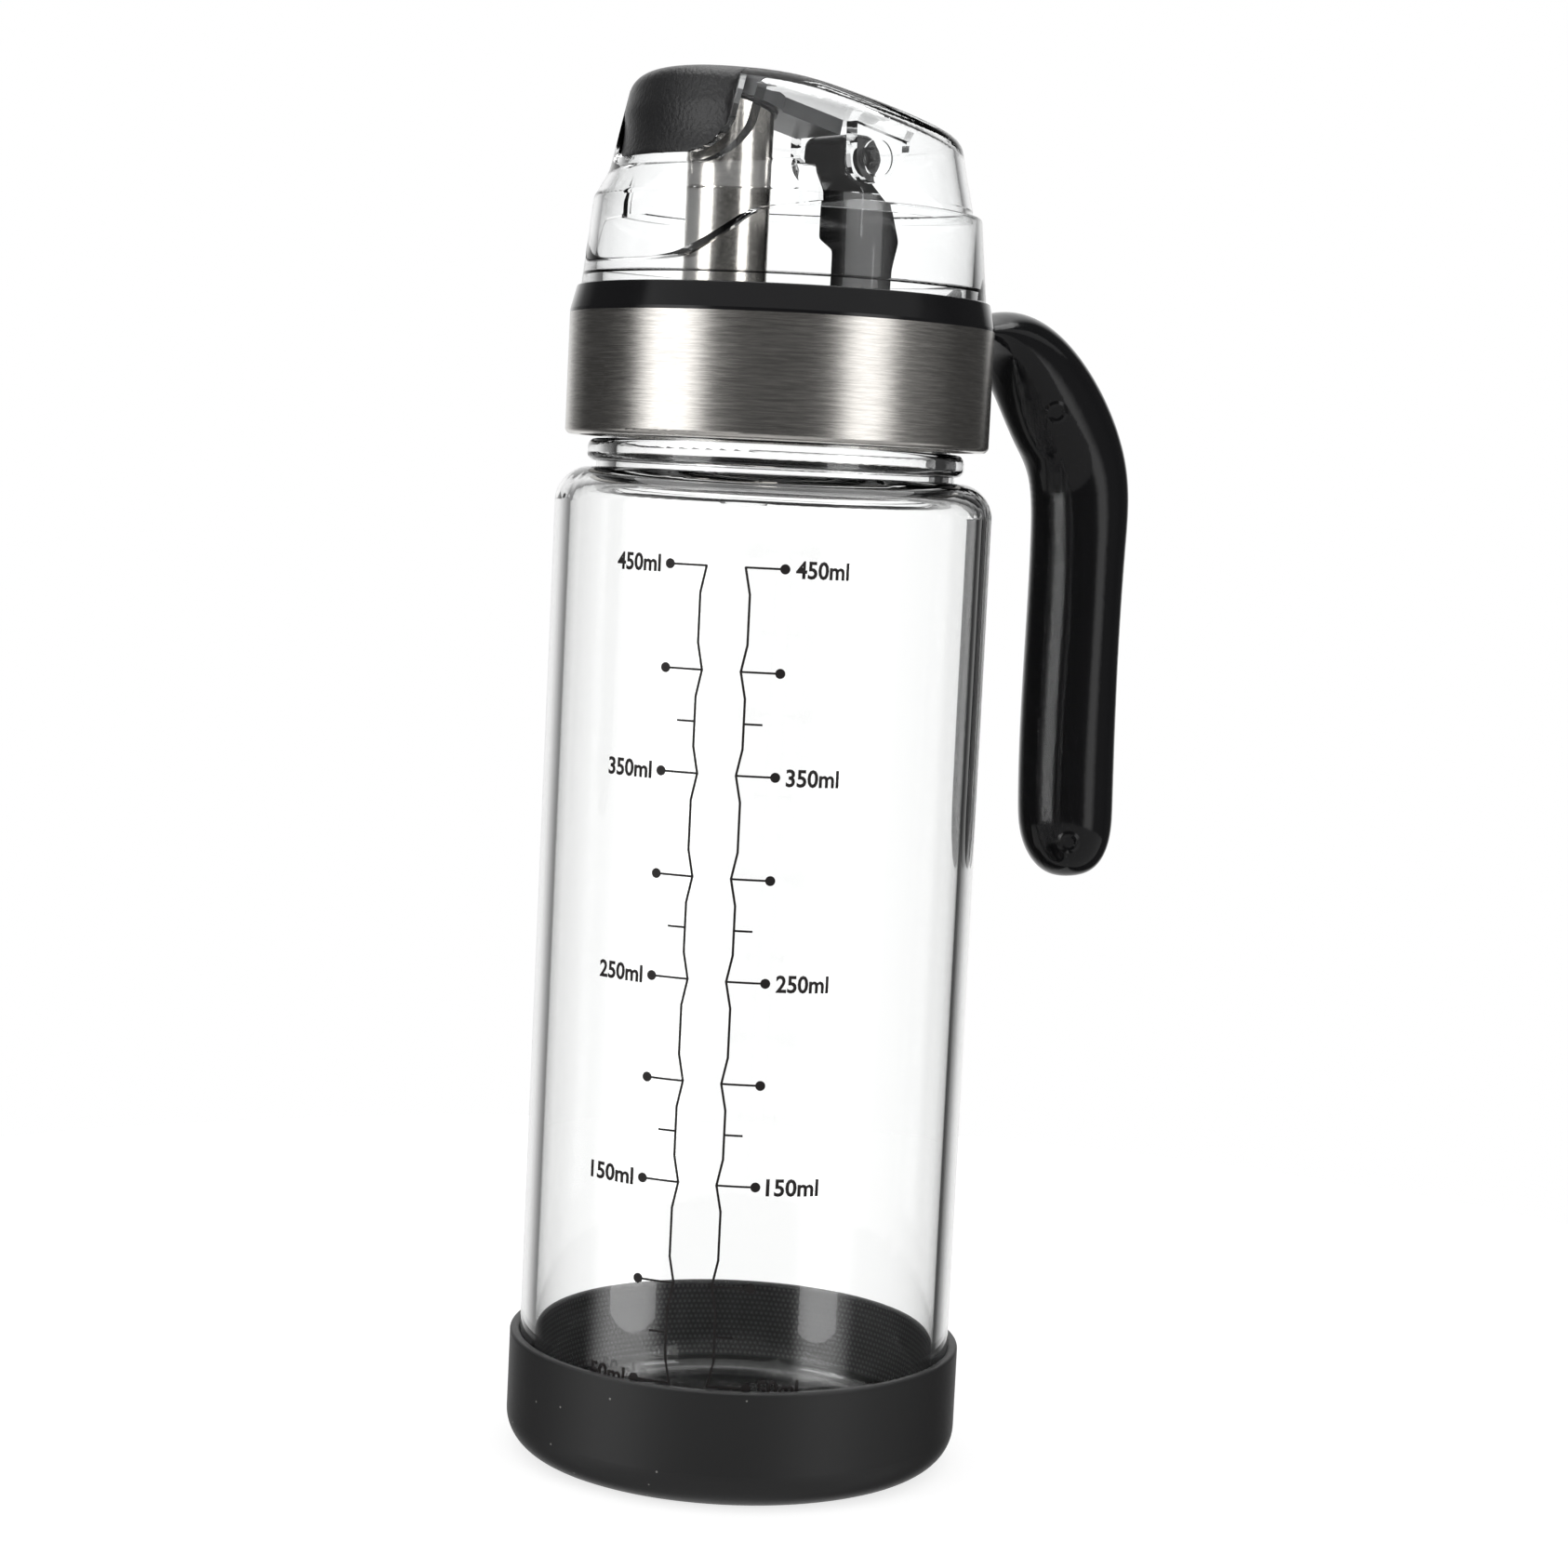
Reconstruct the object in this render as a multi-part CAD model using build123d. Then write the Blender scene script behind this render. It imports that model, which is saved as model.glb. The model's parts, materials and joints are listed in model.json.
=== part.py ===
"""Oil cruet: glass bottle in a silicone sleeve, screw-on pouring head, hinged clear lid, hook handle.

Millimetres, +Z up. The origin is on the bottle's axis at the underside of the sleeve.
The spout pours towards -X and the handle stands at +X.
"""
import os
from math import atan, cos, degrees, radians, sin

from build123d import *

# Fits between pieces
PRESS_GAP = 0.02            # between pieces that are pushed or clamped together
RUNNING_GAP = 0.05          # radial, between a pin and its bore
SOFT_GAP = 0.30             # between a soft face and what it closes on

# Silicone sleeve
SLEEVE_HEIGHT = 18.9
SLEEVE_WALL = 1.55
SLEEVE_FLOOR = 1.2
SLEEVE_CORNER = 5.9

# Glass bottle
GLASS_RADIUS = 34.5
GLASS_WALL = 2.4
GLASS_BASE = 2.2
GLASS_CORNER = 5.0
BODY_HEIGHT = 155.6         # from the glass underside to the top of the shoulder
SHOULDER_ROUND = 5.5
PUNT_RADIUS = 24.0
PUNT_DEPTH = 0.8
BEAD_HEIGHT = 4.4
BEAD_PROUD = 2.1            # how far the bead stands out of the neck
NECK_RADIUS = 27.6
FINISH_HEIGHT = 19.2        # from the bead to the rim
RIM_ROUND = 0.8

# Screw thread between neck and head
THREAD_PITCH = 4.0
THREAD_TURNS = 1.25
THREAD_DEPTH = 1.2
THREAD_FOOT = 2.2           # axial width of a ridge at its root
THREAD_CREST = 1.0
THREAD_GAP = 0.35           # radial, crest to root
THREAD_BELOW_RIM = 3.4

# Head: liner, housing, steel band
GASKET_THICK = 1.8
LINER_WALL = 1.75
SKIRT_WALL = 1.95
BAND_WALL = 0.5
BAND_HEIGHT = 18.8
BAND_LIP = 1.8
BAND_EDGE_ROUND = 0.45
SKIRT_BOTTOM_GAP = 0.1
DECK_THICK = 2.6
BEVEL_HEIGHT = 4.3
BEVEL_LAND = 0.5            # upright stretch of the rim above the band
BEVEL_INSET = 0.95

# Clear drip guard on the deck
GUARD_SETBACK = 0.6
GUARD_HEIGHT = 13.1
GUARD_LEAN = 0.10           # inward run of its outside for each millimetre of height
GUARD_RIM_WALL = 1.0
GUARD_FOOT_THICK = 1.4
GUARD_FOOT_WIDTH = 1.0      # how far the foot reaches inside the bore
GUARD_RIM_ROUND = 0.45
DRIP_SEAL_WIDTH = 1.4
DRIP_SEAL_THICK = 1.0

# Wave of the parting line between guard and lid, seen from the side
SEAM_LOW = 3.1              # height of its front stretch above the deck
SEAM_GAP = 0.35
SEAM_FOOT_BACK = 3.0        # where the steep rise begins, from the guard's front
SEAM_BEND_BACK = 10.1       # where it turns into a gentle rise
SEAM_BEND_DROP = 2.45       # height of that bend below the guard's rim
SEAM_HEAD_BACK = 23.0       # where it meets the rim
SEAM_FOOT_ROUND = 4.0
SEAM_BEND_ROUND = 5.0
SKIRT_END_BACK = 18.0       # how far back the lid's apron reaches

# Clear lid
LID_GAP = 0.55              # radial, inside the guard
LID_WALL = 1.5
LID_LAP = 1.4               # how deep its rear edge reaches into the guard
LID_UPRIGHT = 1.1           # upright stretch above the guard's rim
LID_LEAN = 0.215
ROOF_HEIGHT = 33.0          # crown of the roof above the deck
ROOF_RADIUS = 130.0         # crown across the lid
ROOF_KNEE_BACK = 18.3       # level in front of this, falling behind it
ROOF_KNEE_ROUND = 40.0
ROOF_FALL = 0.2
ROOF_WALL = 1.6
ROOF_EDGE_ROUND = 3.0
FLARE_LOW = 0.6             # start of the front's flare above the guard's rim
FLARE_HIGH = 4.9            # its end, where the front meets the dome
FLARE_LOW_ROUND = 2.6
FLARE_HIGH_ROUND = 4.0

# Thumb pad let into the front of the lid
PAD_THICK = 1.4
PAD_TOP_THICK = 0.8         # where it wraps over the roof
PAD_HALF_WIDTH = 14.1
PAD_BOTTOM = 19.2           # above the deck
PAD_CORNER = 5.4
PAD_REAR_BACK = 18.3        # rear edge, from the guard's front
PAD_GAP = 0.12
PAD_DISH_DEPTH = 0.6
PAD_DISH_RADIUS = 14.0
PAD_DISH_HEIGHT = 24.6      # middle of the dish above the deck
PAD_BACKING = 1.3
PAD_FRAME = 1.5             # clear frame round the pad

# Hinge
HINGE_SETBACK = 19.09       # from the axis back to the guard's wall
HINGE_HEIGHT = 21.9         # above the deck
PIN_RADIUS = 1.6
PIN_LENGTH = 3.4            # how far each pin reaches in from its ear
PIN_END_GAP = 0.3
EAR_THICK = 2.7
EAR_BOSS_RADIUS = 2.9
EAR_BOSS_PROUD = 0.5
EAR_RADIUS = 3.9
EAR_FRONT = 4.4             # from the axis
EAR_REAR = 6.6
POST_HALF_WIDTH = 5.3
POST_SIDE_GAP = 0.5
POST_EDGE_ROUND = 0.8
POST_HUB_RADIUS = 2.9       # round the pins' bores
POST_HEAD_FRONT = 4.1       # from the hinge axis
POST_HEAD_REAR = 2.0
POST_HEAD_TOP = 3.7
POST_HEAD_LOW = 3.1
POST_HEAD_ROUND = 1.8
POST_STEM_FRONT = 0.4       # in front of the hinge axis
POST_HEEL = 8.5             # the furthest back that the post reaches, from the axis
POST_HEEL_HEIGHT = 8.4
POST_FOOT_FRONT = 2.6       # behind the hinge axis
POST_FOOT_REAR = 7.2
POST_FOOT_HEIGHT = 3.4

# Spout
SPOUT_SETBACK = 13.6        # from the spout's axis to the neck's wall
SPOUT_RADIUS = 6.5
SPOUT_WALL = 0.5
SPOUT_MOUTH = 27.8          # middle of the mouth above the deck
SPOUT_BELOW_DECK = 5.6
MOUTH_SLOPE = 0.25          # fall of the mouth towards the handle
SPOUT_FLANGE_WIDTH = 1.1
SPOUT_FLANGE_THICK = 0.8
SPOUT_SEAL_THICK = 1.0
NUT_THICK = 3.0
NUT_WALL = 3.0

# Stopper and its carrier
STOPPER_OVERLAP = 0.5       # flange beyond the spout's outside
STOPPER_FLANGE_THICK = 1.0
STOPPER_PLUG_DEPTH = 1.6
STOPPER_PLUG_GAP = 0.4
STOPPER_TAPER = 0.4
STOPPER_STEM_RADIUS = 1.6
STOPPER_STEM_LENGTH = 0.6
CARRIER_LIFT = 0.65         # underside above the middle of the mouth
CARRIER_RIM = 0.9           # wall round the stopper's flange
CARRIER_HALF_WIDTH = 5.6
CARRIER_TO_HINGE = 4.8      # from its rear end to the hinge axis

# Vent in the deck
VENT_MARGIN = 1.1           # from its lip to the neck's wall
VENT_BORE = 0.9
VENT_NECK_RADIUS = 1.9
VENT_TOP_RADIUS = 3.0
VENT_LIP_RADIUS = 2.6
VENT_LIP_THICK = 0.8

# Screws
POST_SCREW_Y = 3.0
POST_SCREW_RADIUS = 1.1
POST_SCREW_HEAD_RADIUS = 2.1
POST_SCREW_HEAD_THICK = 1.2
POST_SCREW_BITE = 5.0
HANDLE_SCREW_RADIUS = 1.5
HANDLE_SCREW_HEAD_RADIUS = 2.7
HANDLE_SCREW_HEAD_THICK = 1.3
HANDLE_SCREW_SINK = 1.1
HANDLE_SCREW_DROPS = (2.2, 13.4)      # below the top of the band
HANDLE_SCREW_COVER = 0.9              # plastic left past the screws' ends

# Handle
FINGER_GAP = 24.0
GRIP_DEPTH = 15.6
GRIP_WIDTH = 17.0
GRIP_END_DROP = 89.5        # from the top of the band to the lower end
GRIP_TAPER = 13.0           # length of the rounded lower end
GRIP_TIP_SHIFT = 2.0        # how far the tip lies outside the grip's middle
BEND_OUT = 12.6             # centre of the bend, from the band
BEND_DROP = 25.0            # below the top of the band
BEND_TOP_RADIUS = 21.0      # middle line of the arm over the top of the bend
BEND_RADIUS = 18.6          # middle line further down
BEND_SWELL = 1.3            # how much deeper the bend is than the grip
GRIP_START = 7.6            # below the bend's centre
ARM_DEPTH = 8.4
ARM_WIDTH = 15.0
ARM_LENGTH = 9.9            # from the band to where the swell starts
ARM_DROP = 0.8              # middle of the arm at the band, below the band's top
ARM_RISE = 1.4              # how far it climbs over its length
ROOT_THICK = 3.8
ROOT_HALF_WIDTH = 8.0
ROOT_ROUND = 2.2
ROOT_HEIGHT = 19.0

# Levels and radii that follow
sleeve_bore = GLASS_RADIUS + RUNNING_GAP
sleeve_radius = sleeve_bore + SLEEVE_WALL
glass_bottom = SLEEVE_FLOOR
glass_floor = glass_bottom + GLASS_BASE
shoulder_z = glass_bottom + BODY_HEIGHT
bead_top = shoulder_z + BEAD_HEIGHT
bead_radius = NECK_RADIUS + BEAD_PROUD
neck_bore = NECK_RADIUS - GLASS_WALL
groove_radius = NECK_RADIUS + BEAD_PROUD / 3
shoulder_round = min(SHOULDER_ROUND, (GLASS_RADIUS - groove_radius) * 0.95)
inner_ledge = GLASS_RADIUS - GLASS_WALL - neck_bore
neck_top = bead_top + FINISH_HEIGHT
thread_start = neck_top - THREAD_BELOW_RIM - THREAD_PITCH * THREAD_TURNS
deck_under = neck_top + GASKET_THICK
deck_top = deck_under + DECK_THICK
liner_bore = NECK_RADIUS + THREAD_DEPTH + THREAD_GAP
liner_radius = liner_bore + LINER_WALL
skirt_radius = liner_radius + SKIRT_WALL
head_radius = skirt_radius + BAND_WALL
band_top = deck_top - BEVEL_HEIGHT
band_bottom = band_top - BAND_HEIGHT
skirt_bottom = band_bottom + BAND_WALL + SKIRT_BOTTOM_GAP
bevel_radius = head_radius - BEVEL_INSET
guard_foot_radius = bevel_radius - GUARD_SETBACK
guard_top = deck_top + GUARD_HEIGHT
guard_rim_radius = guard_foot_radius - GUARD_LEAN * GUARD_HEIGHT
guard_bore = guard_rim_radius - GUARD_RIM_WALL
lid_radius = guard_bore - LID_GAP
seam_foot_x = SEAM_FOOT_BACK - guard_foot_radius
seam_bend_x = SEAM_BEND_BACK - guard_foot_radius
seam_head_x = SEAM_HEAD_BACK - guard_foot_radius
skirt_end_x = SKIRT_END_BACK - guard_foot_radius
roof_knee_x = ROOF_KNEE_BACK - guard_foot_radius
pad_rear_x = PAD_REAR_BACK - guard_foot_radius
lid_edge = guard_top - LID_LAP
lid_knee = guard_top + LID_UPRIGHT
roof_z = deck_top + ROOF_HEIGHT
hinge_x = guard_bore - HINGE_SETBACK
hinge_z = deck_top + HINGE_HEIGHT
post_screw_x = hinge_x + (POST_FOOT_FRONT + POST_FOOT_REAR) / 2
spout_x = SPOUT_SETBACK - neck_bore
vent_x = neck_bore - VENT_LIP_RADIUS - VENT_MARGIN
carrier_rear_x = hinge_x - CARRIER_TO_HINGE
ear_inner = POST_HALF_WIDTH + POST_SIDE_GAP
spout_bore = SPOUT_RADIUS - SPOUT_WALL
mouth_z = deck_top + SPOUT_MOUTH
mouth_tilt = degrees(atan(MOUTH_SLOPE))
grip_x = head_radius + FINGER_GAP + GRIP_DEPTH / 2
grip_end = band_top - GRIP_END_DROP
FAR = 400.0                 # longer than the whole cruet, for cutting blocks


def outline(points, rounds=()):
    """Closed face in the XZ plane; rounds is a list of (point, radius) for its corners."""
    face = make_face(Polyline(*points, close=True))
    for (x, z), radius in rounds:
        corner = face.vertices().sort_by_distance((x, z, 0))[0]
        face = fillet(corner, radius)
    return Plane.XZ * face


def turned(points, rounds=()):
    """Solid of revolution about the bottle's axis."""
    return revolve(outline(points, rounds), Axis.Z)


def ring(outer, inner, low, high, x=0.0):
    """Plain ring with an upright axis at the given x."""
    solid = Cylinder(outer, high - low) - Cylinder(inner, high - low)
    return Pos(x, 0, (low + high) / 2) * solid


def disc(radius, low, high, x=0.0, y=0.0):
    """Plain upright cylinder."""
    return Pos(x, y, (low + high) / 2) * Cylinder(radius, high - low)


def side_slab(face, half_width):
    """An XZ outline given a thickness to both sides of the middle plane."""
    return extrude(face, amount=half_width, both=True)


def thread_ridge(root, height, start):
    """One helical ridge of trapezium section; height is negative on a ridge that points inwards."""
    overlap = -0.3 if height > 0 else 0.3
    path = Pos(0, 0, start) * Helix(THREAD_PITCH, THREAD_PITCH * THREAD_TURNS, root)
    section = outline([
        (root + overlap, start - THREAD_FOOT / 2), (root + height, start - THREAD_CREST / 2),
        (root + height, start + THREAD_CREST / 2), (root + overlap, start + THREAD_FOOT / 2),
    ])
    return sweep(section, path=path, is_frenet=True)


def glass_bottle():
    """Blown bottle with a low punt, a round shoulder, a bead and a threaded neck."""
    groove_top = shoulder_z + BEAD_HEIGHT / 5
    inner_radius = GLASS_RADIUS - GLASS_WALL
    inner_shoulder = shoulder_z - GLASS_WALL
    points = [
        (0, glass_bottom + PUNT_DEPTH), (PUNT_RADIUS, glass_bottom), (GLASS_RADIUS, glass_bottom),
        (GLASS_RADIUS, shoulder_z), (groove_radius, shoulder_z), (groove_radius, groove_top),
        (bead_radius, groove_top), (bead_radius, bead_top), (NECK_RADIUS, bead_top),
        (NECK_RADIUS, neck_top), (neck_bore, neck_top), (neck_bore, inner_shoulder),
        (inner_radius, inner_shoulder), (inner_radius, glass_floor), (PUNT_RADIUS, glass_floor),
        (0, glass_floor + PUNT_DEPTH),
    ]
    bead_round = min((bead_top - groove_top) * 0.42, (bead_radius - groove_radius) * 0.95)
    rounds = [
        ((GLASS_RADIUS, glass_bottom), GLASS_CORNER), ((GLASS_RADIUS, shoulder_z), shoulder_round),
        ((bead_radius, groove_top), bead_round), ((bead_radius, bead_top), bead_round),
        ((NECK_RADIUS, neck_top), RIM_ROUND), ((neck_bore, neck_top), RIM_ROUND),
        ((neck_bore, inner_shoulder), min(GLASS_WALL, inner_ledge * 0.45)),
        ((inner_radius, inner_shoulder), min(SHOULDER_ROUND - GLASS_WALL, inner_ledge * 0.45)),
        ((inner_radius, glass_floor), GLASS_CORNER - GLASS_WALL),
    ]
    return turned(points, rounds) + thread_ridge(NECK_RADIUS, THREAD_DEPTH, thread_start)


def base_sleeve():
    """Silicone boot that the bottle stands in."""
    inner_corner = SLEEVE_CORNER - SLEEVE_WALL
    rim_round = SLEEVE_WALL / 3
    points = [
        (0, 0), (sleeve_radius, 0), (sleeve_radius, SLEEVE_HEIGHT), (sleeve_bore, SLEEVE_HEIGHT),
        (sleeve_bore, SLEEVE_FLOOR), (0, SLEEVE_FLOOR),
    ]
    rounds = [
        ((sleeve_radius, 0), SLEEVE_CORNER), ((sleeve_bore, SLEEVE_FLOOR), inner_corner),
        ((sleeve_radius, SLEEVE_HEIGHT), rim_round), ((sleeve_bore, SLEEVE_HEIGHT), rim_round),
    ]
    return turned(points, rounds)


def neck_gasket():
    """Flat silicone ring between the glass rim and the deck."""
    return ring(NECK_RADIUS + THREAD_DEPTH / 2, neck_bore, neck_top, deck_under)


def thread_liner():
    """Inner ring of the head, which carries the thread."""
    body = ring(liner_radius, liner_bore, skirt_bottom, deck_under)
    ridge_root = liner_bore
    ridge = thread_ridge(ridge_root, -THREAD_DEPTH, thread_start - THREAD_PITCH / 2)
    return body + ridge - screw_head_pockets()


def screw_heights():
    """Heights of the two handle screws."""
    return [band_top - drop for drop in HANDLE_SCREW_DROPS]


def screw_end():
    """How far out the handle screws reach, inside the root plate."""
    return head_radius + ROOT_THICK - HANDLE_SCREW_COVER


def along_x(radius, start, end, z):
    """Cylinder on an axis parallel to X through the middle plane."""
    return Pos((start + end) / 2, 0, z) * Rot(0, 90, 0) * Cylinder(radius, end - start)


def screw_head_pockets():
    """Pockets in skirt and liner that take the handle screws' heads."""
    inner = liner_radius + HANDLE_SCREW_SINK - HANDLE_SCREW_HEAD_THICK - SOFT_GAP
    outer = liner_radius + HANDLE_SCREW_SINK
    radius = HANDLE_SCREW_HEAD_RADIUS + RUNNING_GAP
    return [along_x(radius, inner, outer, z) for z in screw_heights()]


def cap_housing():
    """Black cap: deck, bevelled rim and the skirt inside the steel band."""
    bore = liner_radius + PRESS_GAP
    outside = skirt_radius - PRESS_GAP
    points = [
        (0, deck_under), (bore, deck_under), (bore, skirt_bottom), (outside, skirt_bottom),
        (outside, band_top), (head_radius, band_top), (head_radius, band_top + BEVEL_LAND),
        (bevel_radius, deck_top), (0, deck_top),
    ]
    body = turned(points, [((bevel_radius, deck_top), BEVEL_LAND / 2)])
    body -= ring(drip_seal_radius() + DRIP_SEAL_WIDTH, drip_seal_radius(), deck_top - DRIP_SEAL_THICK, deck_top)
    body -= disc(SPOUT_RADIUS + PRESS_GAP, deck_under, deck_top, spout_x)
    body -= disc(spout_flange_radius() + PRESS_GAP, deck_top - SPOUT_FLANGE_THICK, deck_top, spout_x)
    body -= disc(VENT_NECK_RADIUS, deck_under, deck_top, vent_x)
    for y in (-POST_SCREW_Y, POST_SCREW_Y):
        body -= disc(POST_SCREW_RADIUS + PRESS_GAP, deck_under, deck_top, post_screw_x, y)
    for z in screw_heights():
        body -= along_x(HANDLE_SCREW_RADIUS + PRESS_GAP, liner_radius, head_radius, z)
    return body - screw_head_pockets()


def steel_band():
    """Brushed steel shell round the skirt, turned in under its lower edge."""
    lip_radius = skirt_radius - BAND_LIP
    points = [
        (lip_radius, band_bottom), (head_radius, band_bottom), (head_radius, band_top),
        (skirt_radius, band_top), (skirt_radius, band_bottom + BAND_WALL), (lip_radius, band_bottom + BAND_WALL),
    ]
    band = turned(points, [((head_radius, band_bottom), BAND_WALL + BAND_EDGE_ROUND)])
    for z in screw_heights():
        band -= along_x(HANDLE_SCREW_RADIUS + PRESS_GAP, liner_radius, head_radius + BAND_WALL, z)
    return band


def drip_seal_radius():
    """Inner radius of the groove that holds the guard's seal."""
    return guard_foot_radius - DRIP_SEAL_WIDTH - BEVEL_LAND / 2


def drip_seal():
    """Silicone ring let into the deck under the guard."""
    inner = drip_seal_radius() + PRESS_GAP
    outer = drip_seal_radius() + DRIP_SEAL_WIDTH - PRESS_GAP
    return ring(outer, inner, deck_top - DRIP_SEAL_THICK, deck_top)


def seam_region(offset):
    """Everything above the front part of the parting line, moved up by offset."""
    low = deck_top + SEAM_LOW + offset
    bend = guard_top - SEAM_BEND_DROP + offset
    high = guard_top + offset
    points = [
        (-FAR, low), (seam_foot_x, low), (seam_bend_x, bend), (seam_head_x, high), (seam_head_x, FAR), (-FAR, FAR),
    ]
    rounds = [((seam_foot_x, low), SEAM_FOOT_ROUND), ((seam_bend_x, bend), SEAM_BEND_ROUND)]
    return side_slab(outline(points, rounds), FAR)


def clear_guard():
    """Clear wall round the spout and post; its front is cut down to the parting line."""
    points = [
        (guard_bore - GUARD_FOOT_WIDTH, deck_top), (guard_foot_radius, deck_top), (guard_rim_radius, guard_top),
        (guard_bore, guard_top), (guard_bore, deck_top + GUARD_FOOT_THICK),
        (guard_bore - GUARD_FOOT_WIDTH, deck_top + GUARD_FOOT_THICK),
    ]
    rounds = [((guard_rim_radius, guard_top), GUARD_RIM_ROUND), ((guard_bore, deck_top + GUARD_FOOT_THICK), LID_GAP)]
    return turned(points, rounds) - seam_region(0.0)


def roof_cover(inset):
    """Everything below the roof's surface: level at the front, falling behind, crowned across."""
    axis_z = roof_z - ROOF_RADIUS
    radius = ROOF_RADIUS - inset
    reach = FAR / 4
    rear = radius - ROOF_FALL * (reach - roof_knee_x)
    points = [
        (-reach, axis_z), (-reach, axis_z - radius), (roof_knee_x, axis_z - radius), (reach, axis_z - rear),
        (reach, axis_z),
    ]
    face = outline(points, [((roof_knee_x, axis_z - radius), ROOF_KNEE_ROUND)])
    return revolve(face, Axis((0, 0, axis_z), (1, 0, 0)))


def dome(inset, roof_inset, low, edge_round=0.0):
    """Solid inside the lid's outer surface, moved in by the given amounts."""
    radius = lid_radius - inset
    top = roof_z + ROOF_WALL
    points = [(0, low), (radius, low), (radius, lid_knee), (dome_radius(top) - inset, top), (0, top)]
    solid = turned(points, [((radius, lid_knee), ROOF_EDGE_ROUND)]) & roof_cover(roof_inset)
    if edge_round:
        solid = fillet(solid.edges().filter_by(on_roof_edge), edge_round)
    return solid


def on_roof_edge(edge):
    """True for the edges where the roof meets the side wall."""
    middle = edge.position_at(0.5)
    far_out = (middle.X ** 2 + middle.Y ** 2) ** 0.5 > lid_radius * 0.8
    return far_out and middle.Z > guard_top + FLARE_HIGH + FLARE_HIGH_ROUND / 2 and abs(edge.tangent_at(0.5).Z) < 0.6


def dome_radius(z):
    """Outer radius of the dome above its upright edge."""
    return lid_radius - LID_LEAN * (z - lid_knee)


def lid_form(inset, roof_inset, edge_round, front_end):
    """Lid's outer form moved in by inset: dome behind front_end, wide flared apron in front of it."""
    low = deck_top + SEAM_LOW - inset
    flare_low = guard_top + FLARE_LOW
    flare_high = guard_top + FLARE_HIGH
    top = roof_z + ROOF_WALL
    low_radius = guard_foot_radius - GUARD_LEAN * (low - deck_top)
    flare_radius = guard_foot_radius - GUARD_LEAN * (flare_low - deck_top)
    points = [
        (0, low), (low_radius - inset, low), (flare_radius - inset, flare_low),
        (dome_radius(flare_high) - inset, flare_high), (dome_radius(top) - inset, top), (0, top),
    ]
    rounds = [
        ((flare_radius - inset, flare_low), FLARE_LOW_ROUND - inset),
        ((dome_radius(flare_high) - inset, flare_high), FLARE_HIGH_ROUND + inset),
    ]
    front = turned(points, rounds) & seam_region(SEAM_GAP - inset)
    front &= Pos(front_end, 0, low) * Box(FAR, FAR, FAR, align=(Align.MAX, Align.CENTER, Align.CENTER))
    edge = lid_edge - inset
    knee = [(0, edge), (lid_radius - inset, edge), (lid_radius - inset, lid_knee), (dome_radius(top) - inset, top), (0, top)]
    solid = (turned(knee) + front) & roof_cover(roof_inset)
    return fillet(solid.edges().filter_by(on_roof_edge), edge_round)


def pad_window(margin):
    """Block that the thumb pad is cut from, wider or narrower by margin."""
    half = PAD_HALF_WIDTH + margin
    bottom = deck_top + PAD_BOTTOM - margin
    face = Rectangle(2 * half, FAR, align=(Align.CENTER, Align.MIN))
    corners = face.vertices().sort_by(Axis.Y)[:2]
    face = fillet(corners, PAD_CORNER + margin)
    length = FAR + pad_rear_x + margin
    return Pos(-FAR, 0, bottom) * extrude(Plane.YZ * face, amount=length)


def hinge_line(radius, start, end):
    """Cylinder on the hinge axis between two distances from the middle plane."""
    return Pos(hinge_x, (start + end) / 2, hinge_z) * Rot(90, 0, 0) * Cylinder(radius, abs(end - start))


def lid_ears():
    """Two clear lugs under the roof, each with a pin that turns in the post and a round boss outside."""
    eye = Pos(hinge_x, hinge_z) * Circle(EAR_RADIUS)
    web = make_face(Polyline(
        (hinge_x - EAR_FRONT, roof_z), (hinge_x - EAR_RADIUS, hinge_z),
        (hinge_x + EAR_RADIUS * 0.6, hinge_z - EAR_RADIUS * 0.8), (hinge_x + EAR_REAR, hinge_z + EAR_RADIUS * 0.4),
        (hinge_x + EAR_REAR, roof_z), close=True,
    ))
    outer = ear_inner + EAR_THICK
    ears = side_slab(Plane.XZ * (eye + web), outer)
    ears -= Box(FAR, 2 * ear_inner, 2 * FAR)
    for side in (-1, 1):
        ears += hinge_line(PIN_RADIUS, side * (ear_inner - PIN_LENGTH), side * outer)
        ears += hinge_line(EAR_BOSS_RADIUS, side * ear_inner, side * (outer + EAR_BOSS_PROUD))
    return ears


def lid_shell():
    """Clear lid: dome with a flared front apron, frame and backing of the pad, hinge ears and pins."""
    outside = lid_form(0.0, 0.0, ROOF_EDGE_ROUND, skirt_end_x)
    inside = lid_form(LID_WALL, ROOF_WALL, ROOF_EDGE_ROUND - LID_WALL / 2, skirt_end_x - LID_WALL)
    backing = dome(LID_WALL / 2, ROOF_WALL / 2, lid_edge) & pad_window(PAD_FRAME)
    backing -= dome(LID_WALL + PAD_BACKING, ROOF_WALL, lid_edge - LID_WALL)
    ears = lid_ears() & dome(LID_WALL / 2, ROOF_WALL / 2, lid_edge)
    recess = pad_window(0.0) - dome(PAD_THICK, PAD_TOP_THICK, lid_edge - LID_WALL)
    return (outside - inside) + backing + ears - recess


def thumb_pad():
    """Soft pad flush with the front of the lid, with a shallow thumb dish."""
    inner = dome(PAD_THICK - PRESS_GAP, PAD_TOP_THICK - PRESS_GAP, lid_edge - LID_WALL)
    pad = (dome(0.0, 0.0, lid_edge, ROOF_EDGE_ROUND) & pad_window(-PAD_GAP)) - inner
    dish_z = deck_top + PAD_DISH_HEIGHT
    surface = dome_radius(dish_z)
    circle = Pos(surface + PAD_DISH_RADIUS - PAD_DISH_DEPTH, dish_z) * Circle(PAD_DISH_RADIUS)
    return pad - revolve(Plane.XZ * circle, Axis.Z)


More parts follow.
